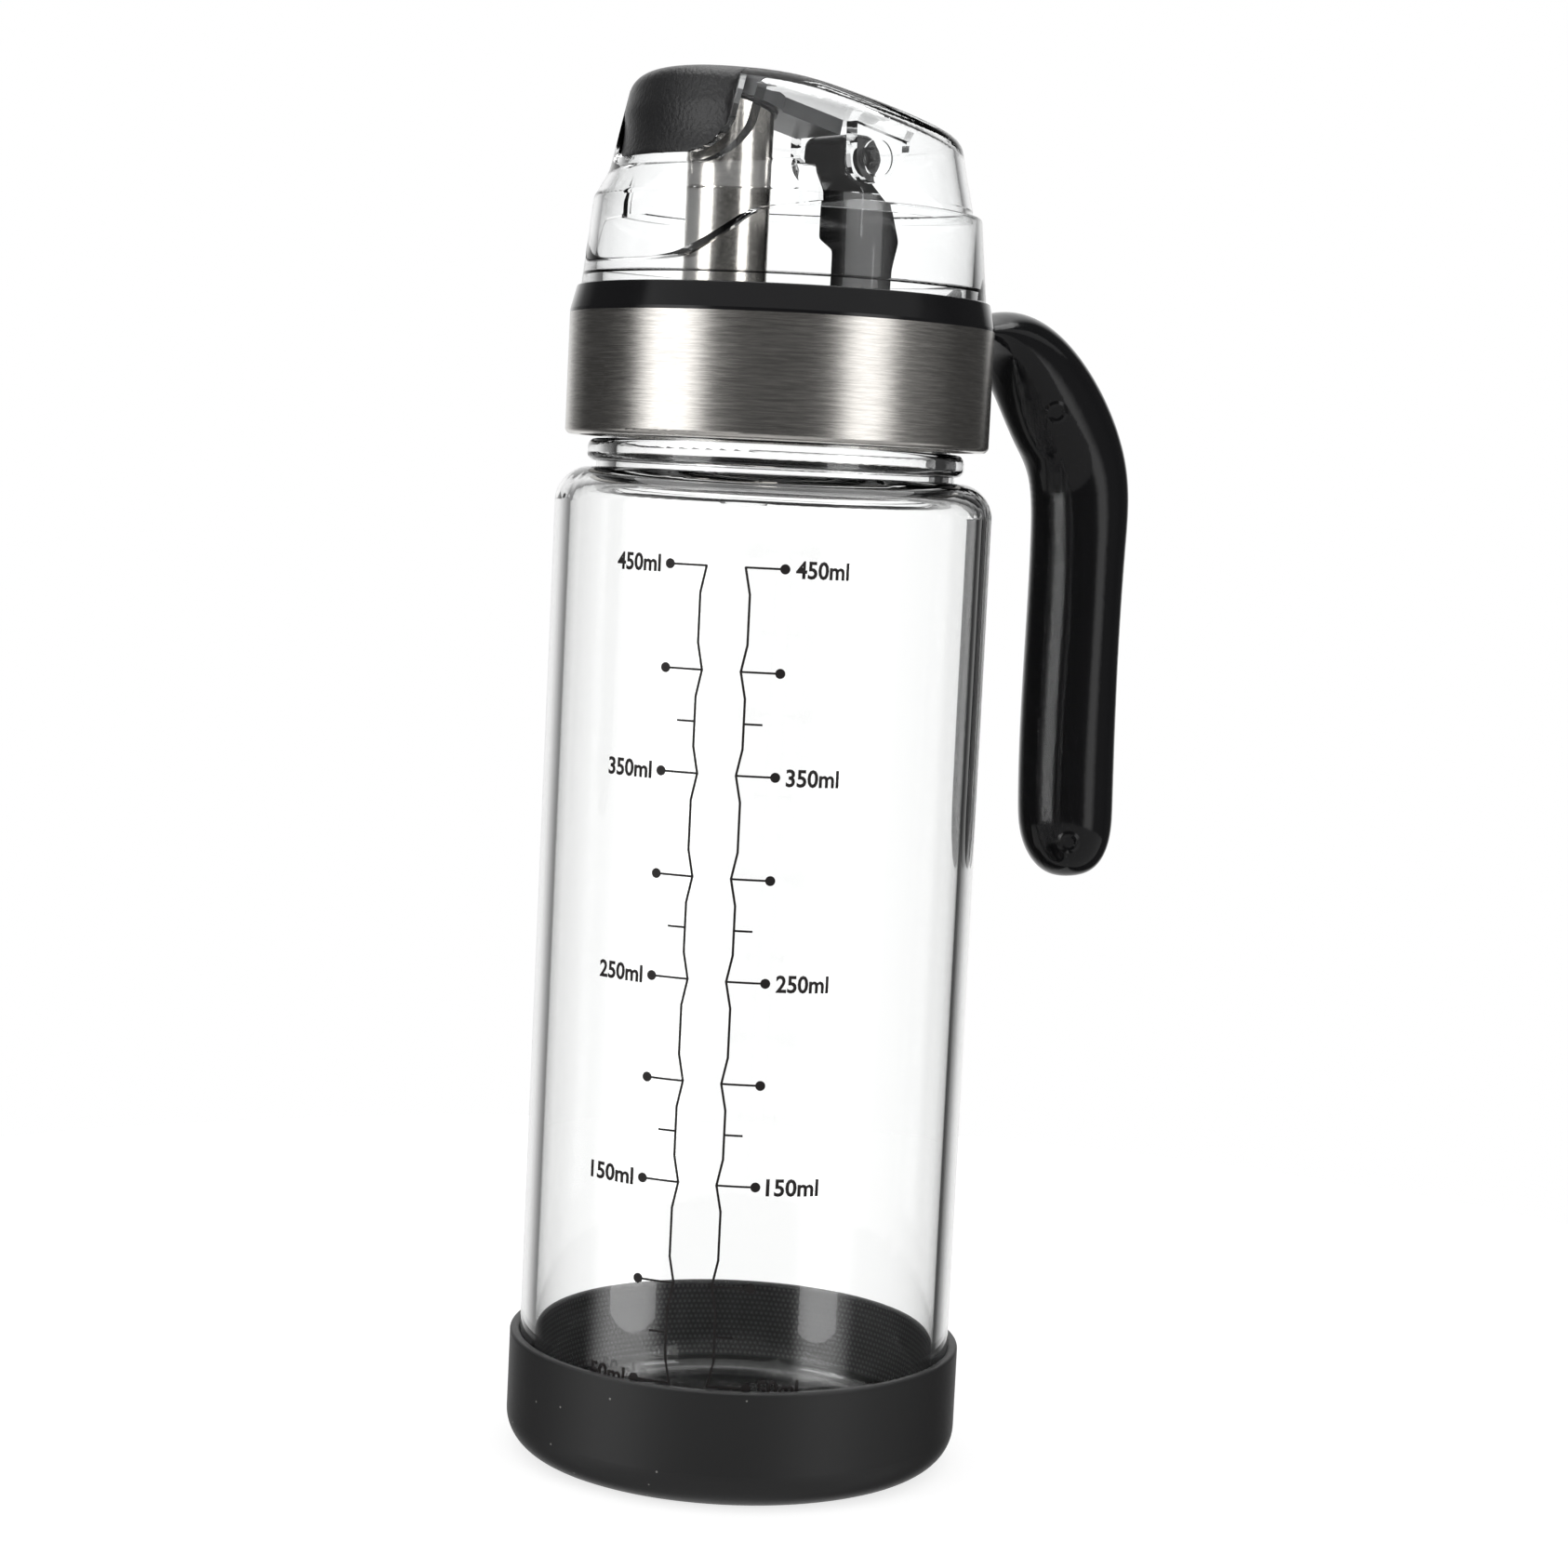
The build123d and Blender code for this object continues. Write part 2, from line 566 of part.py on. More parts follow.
def hinge_post():
    """Black post with a flared foot and a blind bore in each side of its head."""
    head_front = hinge_x - POST_HEAD_FRONT
    head_rear = hinge_x + POST_HEAD_REAR
    head_top = hinge_z + POST_HEAD_TOP
    head_low = hinge_z - POST_HEAD_LOW
    heel = deck_top + POST_HEEL_HEIGHT
    foot_top = deck_top + POST_FOOT_HEIGHT
    shoulder = (head_low + heel) / 2 + POST_HEAD_ROUND
    stem_front = hinge_x - POST_STEM_FRONT
    foot_front = hinge_x + POST_FOOT_FRONT
    foot_rear = hinge_x + POST_FOOT_REAR
    heel_x = hinge_x + POST_HEEL
    points = [
        (foot_front, deck_top), (foot_rear, deck_top), (foot_rear, foot_top), (heel_x, heel),
        ((heel_x + head_rear) / 2 + POST_HEAD_ROUND / 2, shoulder), (head_rear, head_low), (head_rear, head_top),
        (head_front, head_top), (head_front, head_low), (stem_front, head_low - POST_HEAD_ROUND),
        (stem_front, heel), (foot_front, heel - POST_HEAD_ROUND),
    ]
    rounds = [
        ((head_rear, head_top), POST_HEAD_ROUND), ((head_front, head_top), POST_HEAD_ROUND),
        ((head_front, head_low), POST_HEAD_ROUND / 2), ((heel_x, heel), POST_HEAD_ROUND),
    ]
    post = side_slab(outline(points, rounds), POST_HALF_WIDTH)
    sides = post.faces().filter_by(Axis.Y)
    post = fillet(sides.edges().filter_by(lambda edge: edge.center().Z > foot_top), POST_EDGE_ROUND)
    post += hinge_line(POST_HUB_RADIUS, -POST_HALF_WIDTH, POST_HALF_WIDTH)
    pin_end = ear_inner - PIN_LENGTH - PIN_END_GAP
    for side in (-1, 1):
        post -= hinge_line(PIN_RADIUS + RUNNING_GAP, side * pin_end, side * (POST_HALF_WIDTH + POST_SIDE_GAP))
    for y in (-POST_SCREW_Y, POST_SCREW_Y):
        post -= disc(POST_SCREW_RADIUS + PRESS_GAP, deck_top, deck_top + POST_SCREW_BITE, post_screw_x, y)
    return post


def post_screws():
    """Two screws that hold the post from under the deck."""
    screws = []
    for y in (-POST_SCREW_Y, POST_SCREW_Y):
        head = disc(POST_SCREW_HEAD_RADIUS, deck_under - POST_SCREW_HEAD_THICK, deck_under, post_screw_x, y)
        shank = disc(POST_SCREW_RADIUS, deck_under, deck_top + POST_SCREW_BITE, post_screw_x, y)
        screws.append(head + shank)
    return Compound(children=[screw.solid() for screw in screws])


def mouth_place(lift=0.0):
    """Location on the spout's axis at the mouth, with Z square to the mouth and moved by lift."""
    return Pos(spout_x, 0, mouth_z) * Rot(0, mouth_tilt, 0) * Pos(0, 0, lift)


def spout_flange_radius():
    """Radius of the collar that holds the spout down in the deck."""
    return SPOUT_RADIUS + SPOUT_FLANGE_WIDTH


def spout_tube():
    """Steel spout, cut off on the slope of its mouth."""
    low = deck_under - SPOUT_BELOW_DECK
    tube = disc(SPOUT_RADIUS, low, roof_z, spout_x)
    tube += disc(spout_flange_radius(), deck_top - SPOUT_FLANGE_THICK, deck_top, spout_x)
    tube -= disc(spout_bore, low, roof_z, spout_x)
    above = mouth_place() * Box(FAR, FAR, FAR, align=(Align.CENTER, Align.CENTER, Align.MIN))
    return tube - above


def spout_seal():
    """Silicone washer between nut and deck."""
    return ring(SPOUT_RADIUS + NUT_WALL, SPOUT_RADIUS + PRESS_GAP, deck_under - SPOUT_SEAL_THICK, deck_under, spout_x)


def spout_nut():
    """Hexagon nut that clamps the spout from below."""
    high = deck_under - SPOUT_SEAL_THICK
    hexagon = extrude(RegularPolygon(SPOUT_RADIUS + NUT_WALL, 6, major_radius=False), amount=NUT_THICK)
    nut = Pos(spout_x, 0, high - NUT_THICK) * hexagon
    return nut - disc(SPOUT_RADIUS + PRESS_GAP, high - NUT_THICK, high, spout_x)


def stopper_flange_radius():
    """Radius of the part of the stopper that covers the mouth."""
    return SPOUT_RADIUS + STOPPER_OVERLAP


def spout_stopper():
    """Silicone plug that closes the mouth when the lid is down."""
    flange = Cylinder(stopper_flange_radius(), STOPPER_FLANGE_THICK, align=(Align.CENTER, Align.CENTER, Align.MIN))
    plug_radius = spout_bore - STOPPER_PLUG_GAP
    plug_height = STOPPER_PLUG_DEPTH + SOFT_GAP
    plug = Cone(plug_radius - STOPPER_TAPER, plug_radius, plug_height, align=(Align.CENTER, Align.CENTER, Align.MAX))
    stem = Cylinder(STOPPER_STEM_RADIUS, STOPPER_STEM_LENGTH, align=(Align.CENTER, Align.CENTER, Align.MIN))
    return mouth_place(SOFT_GAP) * (flange + plug + Pos(0, 0, STOPPER_FLANGE_THICK) * stem)


def stopper_carrier():
    """Grey bar under the roof that holds the stopper over the mouth."""
    low_align = (Align.CENTER, Align.CENTER, Align.MIN)
    height = ROOF_HEIGHT / 4
    boss = Cylinder(stopper_flange_radius() + CARRIER_RIM, height, align=low_align)
    arm = Box(carrier_rear_x - spout_x, 2 * CARRIER_HALF_WIDTH, height, align=(Align.MIN, Align.CENTER, Align.MIN))
    place = Pos(spout_x, 0, mouth_z + CARRIER_LIFT) * Rot(0, degrees(atan(ROOF_FALL)), 0)
    depth = SOFT_GAP + STOPPER_FLANGE_THICK
    pocket = Pos(0, 0, -depth) * Cylinder(stopper_flange_radius() + PRESS_GAP, 2 * depth, align=low_align)
    stem = Cylinder(STOPPER_STEM_RADIUS + PRESS_GAP, depth + STOPPER_STEM_LENGTH + PRESS_GAP, align=low_align)
    carrier = place * (boss + arm) - mouth_place() * (pocket + stem)
    return carrier & dome(LID_WALL + PAD_BACKING + PRESS_GAP, ROOF_WALL + PRESS_GAP, lid_edge)


def vent_grommet():
    """Silicone grommet that lets air in and drips back through the deck."""
    grommet = disc(VENT_NECK_RADIUS - PRESS_GAP, deck_under, deck_top, vent_x)
    grommet += disc(VENT_TOP_RADIUS, deck_top, deck_top + VENT_LIP_THICK, vent_x)
    grommet += disc(VENT_LIP_RADIUS, deck_under - VENT_LIP_THICK, deck_under, vent_x)
    return grommet - disc(VENT_BORE, deck_under - DECK_THICK, deck_top + DECK_THICK, vent_x)


def grip_section(x, z, turn, depth, width):
    """Oval across the handle; turn is the angle of its path below the level, in degrees."""
    return Pos(x, 0, z) * Rot(0, 90 + turn, 0) * Ellipse(depth / 2, width / 2)


def bend_section(ray, radius, depth, width):
    """Oval on the bend, on the ray that many degrees above the level through the bend's centre."""
    x = head_radius + BEND_OUT + radius * cos(radians(ray))
    z = band_top - BEND_DROP + radius * sin(radians(ray))
    return grip_section(x, z, 90 - ray, depth, width)


def grip_end_section(share, shift, tilt, size):
    """Oval in the lower end: share of the taper's length above the tip, shift of the tip, tilt, relative size."""
    x = grip_x + GRIP_TIP_SHIFT * shift
    return grip_section(x, grip_end + GRIP_TAPER * share, 90 - tilt, GRIP_DEPTH * size, GRIP_WIDTH * size)


def handle():
    """Hook handle: a root plate on the band, a bend, and a straight grip that ends free."""
    root_x = head_radius + ROOT_THICK
    arm_z = band_top - ARM_DROP
    bend_depth = GRIP_DEPTH + BEND_SWELL
    sections = [
        grip_section(bevel_radius, arm_z, -6, ARM_DEPTH, ARM_WIDTH * 0.9),
        grip_section(head_radius + ARM_LENGTH, arm_z + ARM_RISE, 4, ARM_DEPTH, ARM_WIDTH),
        bend_section(71, BEND_TOP_RADIUS, bend_depth * 0.98, GRIP_WIDTH * 0.95),
        bend_section(45, BEND_RADIUS, bend_depth, GRIP_WIDTH),
        bend_section(15, BEND_RADIUS, bend_depth * 0.97, GRIP_WIDTH),
        grip_section(grip_x, band_top - BEND_DROP - GRIP_START, 90, GRIP_DEPTH, GRIP_WIDTH),
        grip_end_section(1.0, 0.2, 0, 1.0), grip_end_section(0.5, 0.45, 3, 0.93),
        grip_end_section(0.17, 0.8, 6, 0.68), grip_end_section(0.02, 1.0, 8, 0.25),
    ]
    arm = loft([section.face() for section in sections])
    root_low = band_top + BEVEL_LAND - ROOT_HEIGHT
    root = Pos(root_x, 0, root_low) * Box(2 * ROOT_THICK, 2 * ROOT_HALF_WIDTH, ROOT_HEIGHT,
                                          align=(Align.MAX, Align.CENTER, Align.MIN))
    outer_edges = root.edges().filter_by(lambda edge: edge.center().X > root_x - ROOT_ROUND)
    root = fillet(outer_edges, ROOT_ROUND)
    head = turned([
        (0, 0), (head_radius + PRESS_GAP, 0), (head_radius + PRESS_GAP, band_top + BEVEL_LAND + PRESS_GAP),
        (bevel_radius + PRESS_GAP, deck_top + PRESS_GAP), (bevel_radius + PRESS_GAP, FAR), (0, FAR),
    ])
    body = arm + root - head
    for z in screw_heights():
        body -= along_x(HANDLE_SCREW_RADIUS + PRESS_GAP, liner_radius, screw_end(), z)
    return body


def handle_screws():
    """Two screws from inside the skirt into the handle's root."""
    seat = liner_radius + HANDLE_SCREW_SINK
    screws = []
    for z in screw_heights():
        head = along_x(HANDLE_SCREW_HEAD_RADIUS, seat - HANDLE_SCREW_HEAD_THICK, seat, z)
        screws.append(head + along_x(HANDLE_SCREW_RADIUS, seat, screw_end(), z))
    return Compound(children=[screw.solid() for screw in screws])


PIECES = [
    glass_bottle, base_sleeve, neck_gasket, thread_liner, cap_housing, steel_band, handle, handle_screws,
    drip_seal, clear_guard, spout_tube, spout_seal, spout_nut, vent_grommet, hinge_post, post_screws,
    lid_shell, thumb_pad, stopper_carrier, spout_stopper,
]

os.makedirs("parts", exist_ok=True)
for piece in PIECES:
    export_step(piece(), f"parts/{piece.__name__}.step")
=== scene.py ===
"""Oil cruet: looks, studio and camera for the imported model."""
import json
import logging
import math
from collections.abc import Callable
from dataclasses import dataclass, field
from enum import Enum

import bpy
from mathutils import Matrix, Vector

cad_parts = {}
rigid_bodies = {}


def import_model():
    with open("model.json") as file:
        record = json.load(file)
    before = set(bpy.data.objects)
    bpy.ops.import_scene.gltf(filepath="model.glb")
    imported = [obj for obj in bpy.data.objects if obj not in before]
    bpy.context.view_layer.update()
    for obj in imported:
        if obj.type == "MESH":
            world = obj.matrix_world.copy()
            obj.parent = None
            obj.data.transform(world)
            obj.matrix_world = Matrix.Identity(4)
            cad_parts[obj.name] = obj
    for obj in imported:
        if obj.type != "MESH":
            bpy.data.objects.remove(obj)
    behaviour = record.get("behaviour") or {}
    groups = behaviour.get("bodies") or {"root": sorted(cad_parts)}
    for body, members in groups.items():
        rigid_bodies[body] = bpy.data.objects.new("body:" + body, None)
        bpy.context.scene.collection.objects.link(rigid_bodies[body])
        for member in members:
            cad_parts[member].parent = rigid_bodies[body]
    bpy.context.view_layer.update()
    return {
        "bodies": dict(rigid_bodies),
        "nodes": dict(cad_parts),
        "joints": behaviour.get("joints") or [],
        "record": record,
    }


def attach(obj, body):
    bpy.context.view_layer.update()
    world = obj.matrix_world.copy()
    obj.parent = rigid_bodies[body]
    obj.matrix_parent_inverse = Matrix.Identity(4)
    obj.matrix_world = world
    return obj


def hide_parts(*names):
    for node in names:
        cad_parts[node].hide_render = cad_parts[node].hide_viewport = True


LOG = logging.getLogger("oil_cruet")
MM = 0.001
PHOTO_AZIMUTH = -37.0
WELD_DISTANCE = 1e-6


class Ray(Enum):
    """Outputs of the Light Path node that the studio uses."""

    TRANSMISSION = "Is Transmission Ray"
    MIRRORED = "Glossy Depth"
    WALLS = "Transmission Depth"
    SCATTERED = "Diffuse Depth"


class Body(Enum):
    """Moving bodies of the cruet."""

    BOTTLE = "bottle"
    HEAD = "head"
    LID = "lid"


class Wire:
    """Number socket that can be used in plain arithmetic."""

    def __init__(self, tree: bpy.types.NodeTree, socket: bpy.types.NodeSocket) -> None:
        """Wraps one output socket of a tree."""
        self.tree = tree
        self.socket = socket

    def _join(self, operation: str, first: object, second: object = None) -> "Wire":
        """Adds one Math node.

        Args:
            operation: the node's operation.
            first, second: wires or numbers for its inputs.

        Returns:
            The node's result.
        """
        node = self.tree.nodes.new("ShaderNodeMath")
        node.operation = operation
        for slot, value in enumerate((first, second)):
            if isinstance(value, Wire):
                self.tree.links.new(value.socket, node.inputs[slot])
            elif value is not None:
                node.inputs[slot].default_value = value
        return Wire(self.tree, node.outputs[0])

    def __add__(self, other: object) -> "Wire":
        """Sum."""
        return self._join("ADD", self, other)

    __radd__ = __add__

    def __sub__(self, other: object) -> "Wire":
        """Difference."""
        return self._join("SUBTRACT", self, other)

    def __rsub__(self, other: object) -> "Wire":
        """Difference the other way round."""
        return self._join("SUBTRACT", other, self)

    def __mul__(self, other: object) -> "Wire":
        """Product."""
        return self._join("MULTIPLY", self, other)

    __rmul__ = __mul__

    def __truediv__(self, other: object) -> "Wire":
        """Quotient."""
        return self._join("DIVIDE", self, other)

    def __gt__(self, other: object) -> "Wire":
        """1 where greater, else 0."""
        return self._join("GREATER_THAN", self, other)

    def __lt__(self, other: object) -> "Wire":
        """1 where less, else 0."""
        return self._join("LESS_THAN", self, other)

    def __abs__(self) -> "Wire":
        """Absolute value."""
        return self._join("ABSOLUTE", self)

    def fraction(self) -> "Wire":
        """Part after the point."""
        return self._join("FRACT", self)

    def root(self) -> "Wire":
        """Square root."""
        return self._join("SQRT", self)

    def angle(self, other: "Wire") -> "Wire":
        """Angle of the point (other, self) in radians."""
        return self._join("ARCTAN2", self, other)

    def floor(self) -> "Wire":
        """Whole number below."""
        return self._join("FLOOR", self)

    def top(self, other: object) -> "Wire":
        """Larger of the two."""
        return self._join("MAXIMUM", self, other)


class Shader:
    """Node tree of one material or world, with short ways to add nodes."""

    def __init__(self, tree: bpy.types.NodeTree) -> None:
        """Starts from an empty tree."""
        self.tree = tree
        tree.nodes.clear()

    def add(self, kind: str, settings: dict | None = None, **inputs: object) -> bpy.types.Node:
        """Adds a node.

        Args:
            kind: the node's type name.
            settings: attributes that are set before the inputs.
            inputs: values or links by input name, with _ for a space.

        Returns:
            The new node.
        """
        node = self.tree.nodes.new(kind)
        for name, value in (settings or {}).items():
            setattr(node, name, value)
        for name, value in inputs.items():
            self.feed(node.inputs[name.replace("_", " ")], value)
        return node

    def feed(self, socket: bpy.types.NodeSocket, value: object) -> None:
        """Links or sets one input."""
        if isinstance(value, Wire):
            self.tree.links.new(value.socket, socket)
        elif isinstance(value, bpy.types.NodeSocket):
            self.tree.links.new(value, socket)
        elif isinstance(value, tuple) and len(value) == 3 and len(getattr(socket, "default_value", ())) == 4:
            socket.default_value = (*value, 1.0)
        else:
            socket.default_value = value

    def wire(self, node: bpy.types.Node, output: object = 0) -> Wire:
        """One output of a node as a number wire."""
        return Wire(self.tree, node.outputs[output])

    def ramp(self, value: Wire, stops: list[tuple[float, tuple[float, float, float]]]) -> bpy.types.NodeSocket:
        """Colour ramp.

        Args:
            value: what it reads.
            stops: positions and colours.

        Returns:
            The colour socket.
        """
        node = self.add("ShaderNodeValToRGB")
        elements = node.color_ramp.elements
        while len(elements) > 1:
            elements.remove(elements[-1])
        elements[0].position, elements[0].color = stops[0][0], (*stops[0][1], 1.0)
        for position, colour in stops[1:]:
            elements.new(position).color = (*colour, 1.0)
        self.feed(node.inputs["Fac"], value)
        return node.outputs["Color"]

    def blend(self, factor: object, low: object, high: object) -> bpy.types.NodeSocket:
        """Mixes two colours by a factor."""
        node = self.tree.nodes.new("ShaderNodeMix")
        node.data_type = "RGBA"
        self.feed(node.inputs["Factor"], factor)
        self.feed(node.inputs[6], low)
        self.feed(node.inputs[7], high)
        return node.outputs[2]

    def place(self) -> tuple[Wire, Wire, Wire, bpy.types.NodeSocket]:
        """Object coordinates.

        Returns:
            X, Y and Z in metres, and the whole vector.
        """
        source = self.add("ShaderNodeTexCoord").outputs["Object"]
        split = self.add("ShaderNodeSeparateXYZ", Vector=source)
        return self.wire(split, 0), self.wire(split, 1), self.wire(split, 2), source

    def noise(self, vector: object, scale: float, detail: float = 2.0, rough: float = 0.5) -> Wire:
        """Noise texture as a number."""
        node = self.add("ShaderNodeTexNoise", Vector=vector, Scale=scale, Detail=detail, Roughness=rough)
        return self.wire(node, "Fac" if "Fac" in node.outputs else 0)

    def relief(self, height: Wire, depth: float) -> bpy.types.NodeSocket:
        """Bump from a height between 0 and 1, with depth in metres."""
        return self.add("ShaderNodeBump", Height=height, Distance=depth, Strength=1.0).outputs["Normal"]

    def ray(self, kind: Ray, limit: float = 0.5) -> Wire:
        """1 for rays whose count of one kind is above a limit, else 0."""
        return self.wire(self.add("ShaderNodeLightPath"), kind.value) > limit


def new_material(name: str) -> tuple[bpy.types.Material, Shader]:
    """Empty node material.

    Args:
        name: its name.

    Returns:
        The material and its shader.
    """
    material = bpy.data.materials.new(name)
    material.use_nodes = True
    return material, Shader(material.node_tree)


def close(shader: Shader, surface: bpy.types.Node) -> None:
    """Ends a material's tree at its output."""
    out = shader.add("ShaderNodeOutputMaterial")
    shader.tree.links.new(surface.outputs[0], out.inputs["Surface"])


@dataclass(frozen=True)
class Finish:
    """Base of the finishes; each makes one material."""

    name: str

    def make(self) -> bpy.types.Material:
        """Builds the material."""
        raise NotImplementedError


@dataclass(frozen=True)
class ClearWall(Finish):
    """Glass or clear plastic."""

    tint: tuple[float, float, float] = (0.995, 0.998, 0.996)
    index: float = 1.47

    def make(self) -> bpy.types.Material:
        """Smooth transmitting shader."""
        material, shader = new_material(self.name)
        surface = shader.add("ShaderNodeBsdfPrincipled", Base_Color=self.tint, Roughness=0.0, IOR=self.index)
        surface.inputs["Transmission Weight"].default_value = 1.0
        close(shader, surface)
        return material


@dataclass(frozen=True)
class BrushedSteel(Finish):
    """Steel brushed round its axis."""

    colour: tuple[float, float, float] = (0.60, 0.58, 0.55)
    rough: float = 0.235
    grain_depth: float = 4e-6
    axis_x: float = 0.0
    streak_turn: float = 0.0016
    fine_scale: float = 7000.0
    long_scale: float = 2400.0
    dark: float = 0.68
    light: float = 1.28
    fine_share: float = 0.6
    patch_scale: float = 120.0
    streak_rough: float = 0.14
    patch_rough: float = 0.03

    def make(self) -> bpy.types.Material:
        """Fine streaks that run round the axis, with slight patches in the polish."""
        material, shader = new_material(self.name)
        x, y, z, vector = shader.place()
        turn = y.angle(x - self.axis_x)
        streak = shader.add("ShaderNodeCombineXYZ", X=turn * self.streak_turn, Y=z, Z=(x * x + y * y).root())
        fine = shader.noise(streak.outputs[0], self.fine_scale, 4.0, 0.65)
        long_marks = shader.noise(streak.outputs[0], self.long_scale, 2.0, 0.6)
        patches = shader.noise(vector, self.patch_scale, 3.0)
        grain = fine * self.fine_share + long_marks * (1.0 - self.fine_share)
        least = self.rough - (self.streak_rough + self.patch_rough) / 2
        surface = shader.add("ShaderNodeBsdfPrincipled", Metallic=1.0)
        dark = tuple(c * self.dark for c in self.colour)
        light = tuple(min(1.0, c * self.light) for c in self.colour)
        shade = shader.ramp(grain, [(0.32, dark), (0.68, light)])
        shader.feed(surface.inputs["Base Color"], shade)
        rough = grain * self.streak_rough + patches * self.patch_rough + least
        shader.feed(surface.inputs["Roughness"], rough)
        shader.feed(surface.inputs["Normal"], shader.relief(grain, self.grain_depth))
        close(shader, surface)
        return material


@dataclass(frozen=True)
class MouldedPlastic(Finish):
    """Opaque moulded plastic or rubber with a fine surface grain."""

    colour: tuple[float, float, float] = (0.0045, 0.0045, 0.005)
    rough: float = 0.10
    shine: float = 0.5
    grain_scale: float = 400.0
    grain_depth: float = 2e-6
    specks: float = 0.0
    speck_scale: float = 520.0
    speck_share: float = 0.10
    speck_colour: tuple[float, float, float] = (0.40, 0.39, 0.37)
    cloud_scale: float = 35.0
    cloud_light: float = 1.18
    grain_rough: float = 0.10
    cloud_rough: float = 0.05

    def tone(self, shader: Shader, vector: bpy.types.NodeSocket, cloud: Wire) -> bpy.types.NodeSocket:
        """Base colour with slight variation and, on soft rubber, a few dust specks.

        Args:
            shader: the material's shader.
            vector: object coordinates.
            cloud: slow variation.

        Returns:
            The colour.
        """
        light = tuple(min(1.0, c * self.cloud_light + 0.001) for c in self.colour)
        tone = shader.blend(cloud, self.colour, light)
        if self.specks:
            dots = shader.add("ShaderNodeTexVoronoi", {"feature": "F1"}, Vector=vector, Scale=self.speck_scale)
            chance = shader.add("ShaderNodeTexWhiteNoise", Vector=dots.outputs["Position"])
            rare = shader.wire(chance, "Value") > 1.0 - self.speck_share
            near = shader.wire(dots, "Distance") < self.specks
            tone = shader.blend(rare * near * 0.5, tone, self.speck_colour)
        return tone

    def make(self) -> bpy.types.Material:
        """Builds the material."""
        material, shader = new_material(self.name)
        vector = shader.place()[3]
        grain = shader.noise(vector, self.grain_scale, 3.0, 0.6)
        cloud = shader.noise(vector, self.cloud_scale, 3.0)
        least = self.rough - (self.grain_rough + self.cloud_rough) / 2
        surface = shader.add("ShaderNodeBsdfPrincipled")
        shader.feed(surface.inputs["Base Color"], self.tone(shader, vector, cloud))
        rough = grain * self.grain_rough + cloud * self.cloud_rough + least
        shader.feed(surface.inputs["Roughness"], rough)
        shader.feed(surface.inputs["Normal"], shader.relief(self.height(shader, grain), self.grain_depth))
        surface.inputs["Specular IOR Level"].default_value = self.shine
        close(shader, surface)
        return material

    def height(self, shader: Shader, grain: Wire) -> Wire:
        """Surface height; the plain plastics have only their grain."""
        return grain


@dataclass(frozen=True)
class DottedRubber(MouldedPlastic):
    """Sleeve rubber whose inner wall carries rows of small raised dots."""

    pitch: float = 0.00088
    wall: float = 0.0347
    floor_top: float = 0.006
    dot_area: float = 0.085
    dot_rise: float = 0.65
    # Inner wall colour is painted reflection: lighter than the outer sleeve, for the bright surround mirrored
    # in the glass in front of it.
    inner_reflection_colour: tuple[float, float, float] = (0.050, 0.050, 0.052)
    # Dot colour is painted highlight: the raised dots lighter, as where light catches them.
    dot_highlight_colour: tuple[float, float, float] = (0.13, 0.13, 0.134)

    def inner(self, shader: Shader) -> Wire:
        """Mask of the inner wall above the sleeve's floor."""
        x, y, z, _ = shader.place()
        return ((x * x + y * y) < self.wall * self.wall) * (z > self.floor_top)

    def dots(self, shader: Shader) -> Wire:
        """Mask of the dots: staggered rows on the inner wall, with whole numbers added to stay above zero."""
        x, y, z, _ = shader.place()
        row = (z / self.pitch).floor()
        along = (y.angle(x) * (self.wall / self.pitch) + row * 0.5 + 1000.0).fraction() - 0.5
        across = (z / self.pitch + 10.0).fraction() - 0.5
        near = (along * along + across * across) < self.dot_area
        return near * self.inner(shader)

    def tone(self, shader: Shader, vector: bpy.types.NodeSocket, cloud: Wire) -> bpy.types.NodeSocket:
        """Sleeve colour, with painted reflection on the inner wall (lighter, for the bright surround mirrored
        in the glass before it) and painted highlight on the raised dots (a little lighter still).
        """
        # The inner wall gets the painted reflection colour, then the dots get the painted highlight colour.
        plain = shader.blend(self.inner(shader), super().tone(shader, vector, cloud), self.inner_reflection_colour)
        return shader.blend(self.dots(shader), plain, self.dot_highlight_colour)

    def height(self, shader: Shader, grain: Wire) -> Wire:
        """Grain with the dots standing on it."""
        return grain * (1.0 - self.dot_rise) + self.dots(shader) * self.dot_rise


@dataclass(frozen=True)
class MarkedPlastic(MouldedPlastic):
    """Polished handle plastic with two small round moulding marks on its side."""

    marks: tuple[tuple[float, float, float], ...] = (
        (0.05249, -0.0068, 0.16942), (0.06133, -0.00606, 0.09745),
    )
    mark_radius: float = 0.0015
    mark_slope: float = 2.7

    def height(self, shader: Shader, grain: Wire) -> Wire:
        """Raised ring at each mark; the grain doesn't show on a polished moulding."""
        x, y, z, _ = shader.place()
        rings = []
        for side, front, level in self.marks:
            along, across, up = x - side, y - front, z - level
            away = (along * along + across * across + up * up).root() / self.mark_radius
            rings.append((1.0 - abs(away - 1.0) * self.mark_slope).top(0.0))
        return rings[0] + rings[1]


